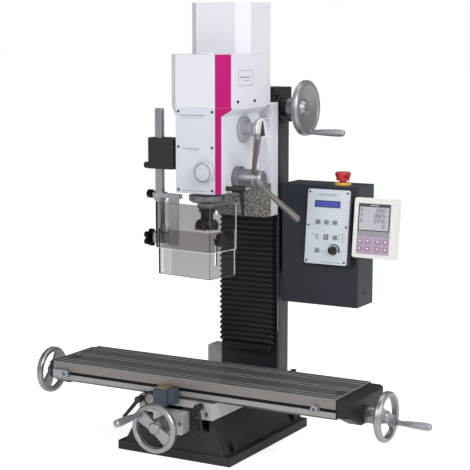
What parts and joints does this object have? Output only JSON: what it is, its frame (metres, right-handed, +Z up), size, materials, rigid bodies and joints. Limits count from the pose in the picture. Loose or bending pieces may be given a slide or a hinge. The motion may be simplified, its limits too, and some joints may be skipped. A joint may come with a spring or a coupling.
{
  "type": "vertical milling machine",
  "caption": "Bench-top vertical milling machine: cross table with handwheels, dovetail column with bellows, tilting head, clear chip guard, control box and digital readout.",
  "frame": {"origin": "on the floor, in the middle of the four hold-down holes of the base", "axes": "+X to the operator's right along the table, +Y from the operator towards the column, +Z up"},
  "size_m": [0.9353, 0.6003, 0.968],
  "materials": {
    "dark_casting": "satin",
    "column_paint": "satin",
    "white_paint": "satin",
    "machined": "satin",
    "table_iron": "satin",
    "polished": "polished",
    "steel": "satin",
    "chrome": "polished",
    "black_plastic": "matte",
    "rubber_bellows": "matte",
    "clear_sheet": "clear",
    "box_paint": "satin",
    "panel_print": "matte",
    "estop_red": "gloss",
    "estop_yellow": "gloss",
    "cream_plastic": "matte",
    "screen": "gloss",
    "board": "matte",
    "bronze": "satin",
    "motor_paint": "satin",
    "lead": "matte"
  },
  "bodies": {
    "frame": {"base": "dark_casting", "column": "column_paint", "column_bolts": "steel", "top_housing": "black_plastic", "bellows_clamp": "dark_casting", "y_bracket": "machined", "junction_box": "white_paint", "control_box": "box_paint", "panel_plate": "panel_print", "control_board": "board", "estop_ring": "estop_yellow", "readout_housing": "cream_plastic", "readout_screen": "screen"},
    "estop_button": {"estop_button": "estop_red"},
    "speed_knob": {"speed_knob": "black_plastic"},
    "z_crank": {"z_wheel": "polished", "z_shaft": "steel"},
    "z_grip": {"z_grip": "polished"},
    "z_screw": {"z_screw": "steel"},
    "carriage": {"carriage": "white_paint", "z_nut": "bronze", "tilt_scale": "white_paint", "bellows": "rubber_bellows"},
    "head": {"head_casting": "white_paint", "front_plate": "white_paint", "lower_cover": "white_paint", "upper_cover": "white_paint", "cover_screws": "steel", "motor": "motor_paint", "guard_block": "black_plastic"},
    "drawbar_cap": {"drawbar_cap": "black_plastic"},
    "motor_gear": {"motor_gear": "steel"},
    "spindle_gear": {"spindle_gear": "steel"},
    "quill": {"quill": "steel"},
    "spindle": {"spindle": "steel", "arbor": "dark_casting", "face_mill": "dark_casting"},
    "feed": {"feed_hub": "polished", "feed_levers": "steel"},
    "depth_dial": {"depth_dial": "white_paint"},
    "gear_knob": {"gear_knob": "polished"},
    "quill_lock": {"quill_lock": "black_plastic"},
    "guard_post": {"guard_post": "chrome"},
    "guard": {"guard_arm": "steel", "guard_upper": "clear_sheet"},
    "guard_lower": {"guard_lower": "clear_sheet"},
    "saddle": {"saddle": "machined", "sensor_block": "box_paint", "sensor_lead": "lead"},
    "saddle_lock_left": {"saddle_lock_left": "black_plastic"},
    "saddle_lock_right": {"saddle_lock_right": "black_plastic"},
    "table": {"table": "table_iron", "end_brackets": "dark_casting", "table_stops": "polished"},
    "x_crank": {"x_screw": "steel", "x_wheels": "polished"},
    "x_grip": {"x_grip": "polished"},
    "y_crank": {"y_screw": "steel", "y_wheel": "polished"},
    "y_grip": {"y_grip": "polished"}
  },
  "joints": [
    {"name": "y_crank_turn", "type": "hinge", "parent": "frame", "child": "y_crank", "pos_m": [0, -0.26, 0.083], "axis": [0, 1, 0], "range_deg": [-90, 18090]},
    {"name": "saddle_slide", "type": "slide", "parent": "frame", "child": "saddle", "axis": [0, 1, 0], "range_m": [0, 0.125]},
    {"name": "x_crank_turn", "type": "hinge", "parent": "table", "child": "x_crank", "pos_m": [0.456, -0.076, 0.126], "axis": [-1, 0, 0], "range_deg": [-38250, 31050]},
    {"name": "table_slide", "type": "slide", "parent": "saddle", "child": "table", "axis": [1, 0, 0], "range_m": [-0.265, 0.215]},
    {"name": "z_crank_turn", "type": "hinge", "parent": "frame", "child": "z_crank", "pos_m": [0.136, 0.187, 0.735], "axis": [-1, 0, 0], "range_deg": [-28890, 90]},
    {"name": "z_screw_turn", "type": "hinge", "parent": "frame", "child": "z_screw", "pos_m": [0, 0.187, 0.7], "axis": [0, 0, 1], "range_deg": [-28890, 90]},
    {"name": "carriage_lift", "type": "slide", "parent": "frame", "child": "carriage", "axis": [0, 0, 1], "range_m": [-0.2, 0], "deforming": ["bellows"]},
    {"name": "x_grip_spin", "type": "hinge", "parent": "x_crank", "child": "x_grip", "pos_m": [0.456, -0.03614, 0.10512], "axis": [1, 0, 0], "continuous": true},
    {"name": "y_grip_spin", "type": "hinge", "parent": "y_crank", "child": "y_grip", "pos_m": [-0.03687, -0.26, 0.10879], "axis": [0, 1, 0], "continuous": true},
    {"name": "z_grip_spin", "type": "hinge", "parent": "z_crank", "child": "z_grip", "pos_m": [0.136, 0.18999, 0.68108], "axis": [1, 0, 0], "continuous": true},
    {"name": "head_tilt", "type": "hinge", "parent": "carriage", "child": "head", "pos_m": [0, 0.1, 0.64], "axis": [0, 1, 0], "range_deg": [-60, 60]},
    {"name": "cap_lift", "type": "slide", "parent": "head", "child": "drawbar_cap", "axis": [0, 0, 1], "range_m": [0, 0.04]},
    {"name": "feed_turn", "type": "hinge", "parent": "head", "child": "feed", "pos_m": [0.057, -0.003, 0.59], "axis": [1, 0, 0], "range_deg": [0, 318.31]},
    {"name": "quill_feed", "type": "slide", "parent": "head", "child": "quill", "axis": [0, 0, 1], "range_m": [-0.0505, 0.0005]},
    {"name": "depth_dial_turn", "type": "hinge", "parent": "head", "child": "depth_dial", "pos_m": [0.026, -0.083, 0.608], "axis": [0, 1, 0], "range_deg": [-1, 319.31]},
    {"name": "spindle_spin", "type": "hinge", "parent": "quill", "child": "spindle", "pos_m": [0, -0.035, 0.6], "axis": [0, 0, 1], "continuous": true},
    {"name": "motor_gear_spin", "type": "hinge", "parent": "head", "child": "motor_gear", "pos_m": [0, 0.05, 0.758], "axis": [0, 0, 1], "continuous": true},
    {"name": "spindle_gear_spin", "type": "hinge", "parent": "head", "child": "spindle_gear", "pos_m": [0, -0.035, 0.758], "axis": [0, 0, 1], "continuous": true},
    {"name": "gear_select", "type": "hinge", "parent": "head", "child": "gear_knob", "pos_m": [0.057, 0.025, 0.695], "axis": [1, 0, 0], "range_deg": [0, 90]},
    {"name": "quill_lock_turn", "type": "hinge", "parent": "head", "child": "quill_lock", "pos_m": [0.057, -0.047, 0.571], "axis": [1, 0, 0], "range_deg": [-70, 15]},
    {"name": "post_height", "type": "slide", "parent": "head", "child": "guard_post", "axis": [0, 0, -1], "range_m": [0, 0.05]},
    {"name": "guard_swing", "type": "hinge", "parent": "guard_post", "child": "guard", "pos_m": [-0.1, -0.067, 0.55], "axis": [0, 0, -1], "range_deg": [-8, 91]},
    {"name": "guard_extend", "type": "slide", "parent": "guard", "child": "guard_lower", "axis": [0, 0, 1], "range_m": [0, 0.05]},
    {"name": "estop_press", "type": "slide", "parent": "frame", "child": "estop_button", "axis": [0, 0, -1], "range_m": [0, 0.004], "stiffness_N_per_m": 2000, "springref_m": -0.002},
    {"name": "speed_turn", "type": "hinge", "parent": "frame", "child": "speed_knob", "pos_m": [0.2215, 0.14412, 0.42279], "axis": [0, -0.9936, 0.1132], "range_deg": [-140, 140]},
    {"name": "saddle_lock_left_turn", "type": "hinge", "parent": "saddle", "child": "saddle_lock_left", "pos_m": [-0.084, -0.17, 0.119], "axis": [0, 1, 0], "range_deg": [0, 50]},
    {"name": "saddle_lock_right_turn", "type": "hinge", "parent": "saddle", "child": "saddle_lock_right", "pos_m": [0.064, -0.17, 0.1195], "axis": [0, -1, 0], "range_deg": [0, 60]}
  ],
  "couplings": [
    {"joint": "y_crank_turn", "follows": "saddle_slide", "rad_per_m": 2513.3},
    {"joint": "x_crank_turn", "follows": "table_slide", "rad_per_m": 2513.3},
    {"joint": "z_crank_turn", "follows": "carriage_lift", "rad_per_m": 2513.3},
    {"joint": "z_screw_turn", "follows": "carriage_lift", "rad_per_m": 2513.3},
    {"joint": "quill_feed", "follows": "feed_turn", "m_per_rad": -0.009},
    {"joint": "depth_dial_turn", "follows": "feed_turn", "ratio": 1},
    {"joint": "motor_gear_spin", "follows": "spindle_spin", "ratio": -0.88889},
    {"joint": "spindle_gear_spin", "follows": "spindle_spin", "ratio": 1}
  ]
}
